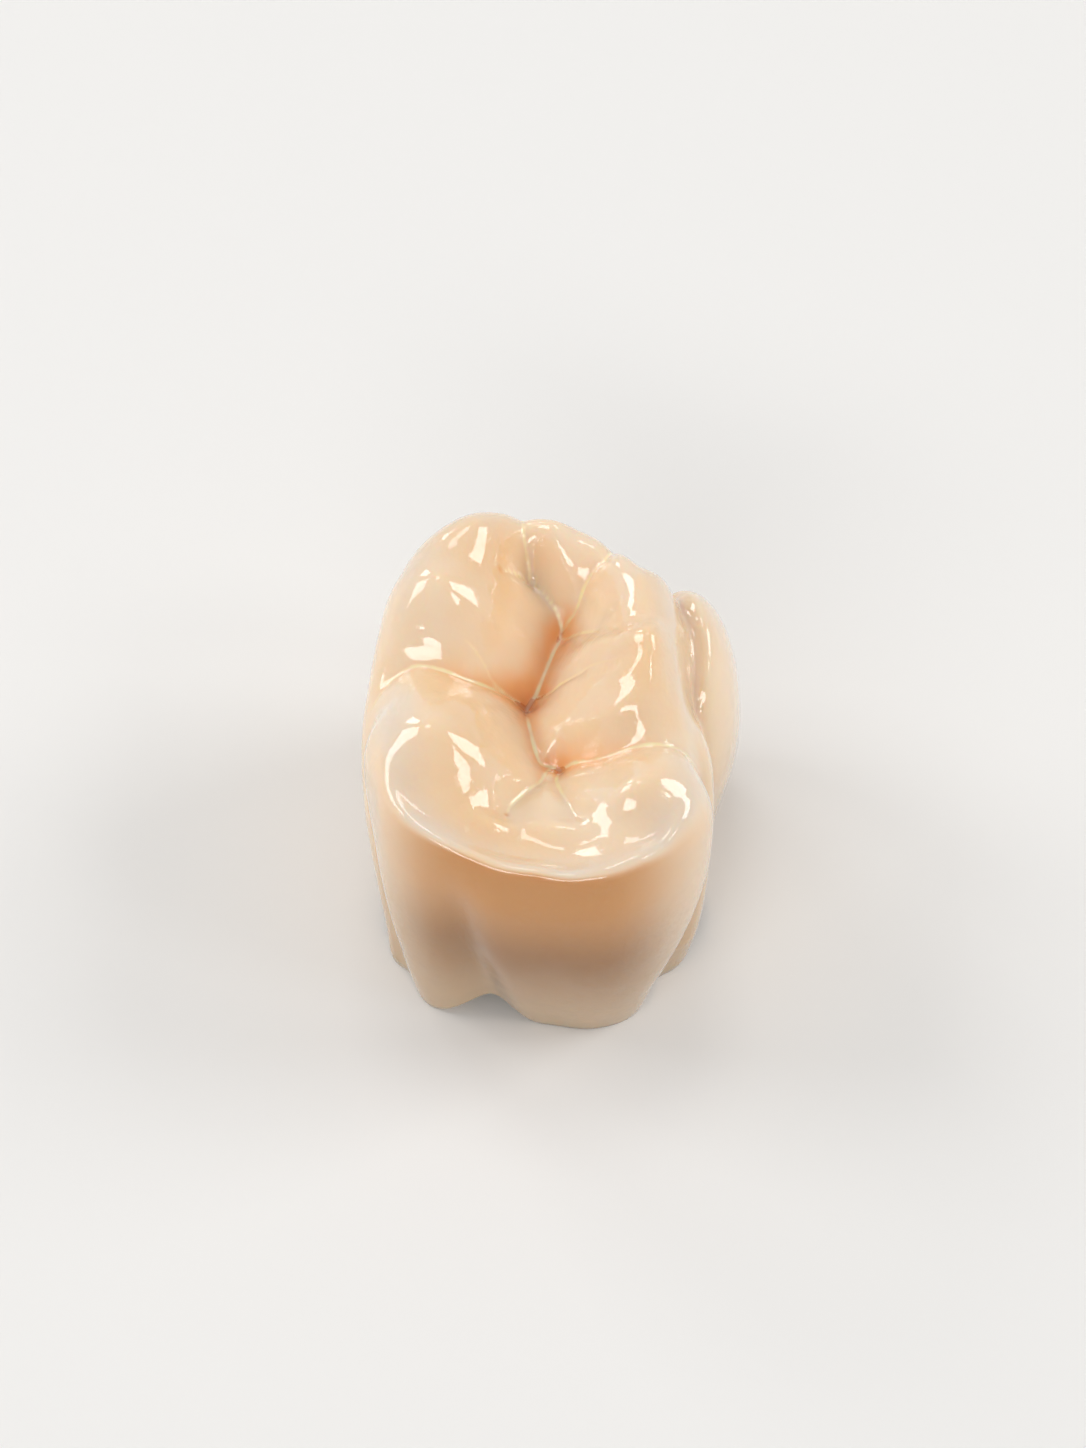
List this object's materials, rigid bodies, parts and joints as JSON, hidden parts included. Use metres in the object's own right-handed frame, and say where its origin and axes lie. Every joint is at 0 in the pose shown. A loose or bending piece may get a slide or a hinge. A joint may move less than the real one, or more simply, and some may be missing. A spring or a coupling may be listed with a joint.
{
  "type": "dental crown",
  "caption": "Glazed ceramic crown for an upper molar: cusps, ridges and stained fissures over a scalloped wall, with an extra palate-side cusp, hollow below to seat on a prepared tooth",
  "frame": {"origin": "centre of the bounding box in plan, on the plane the margin stands on", "axes": "+Z from the margin to the cusps, +Y from the back contact to the front contact (the longest extent), +X from the cheek side to the palate side"},
  "size_m": [0.0102, 0.0124, 0.0091],
  "materials": {
    "glazed_ceramic": "cream body with a clear glaze, stained fissures, satin inside"
  },
  "bodies": {
    "root": {"ceramic_crown": "glazed_ceramic"}
  },
  "joints": []
}
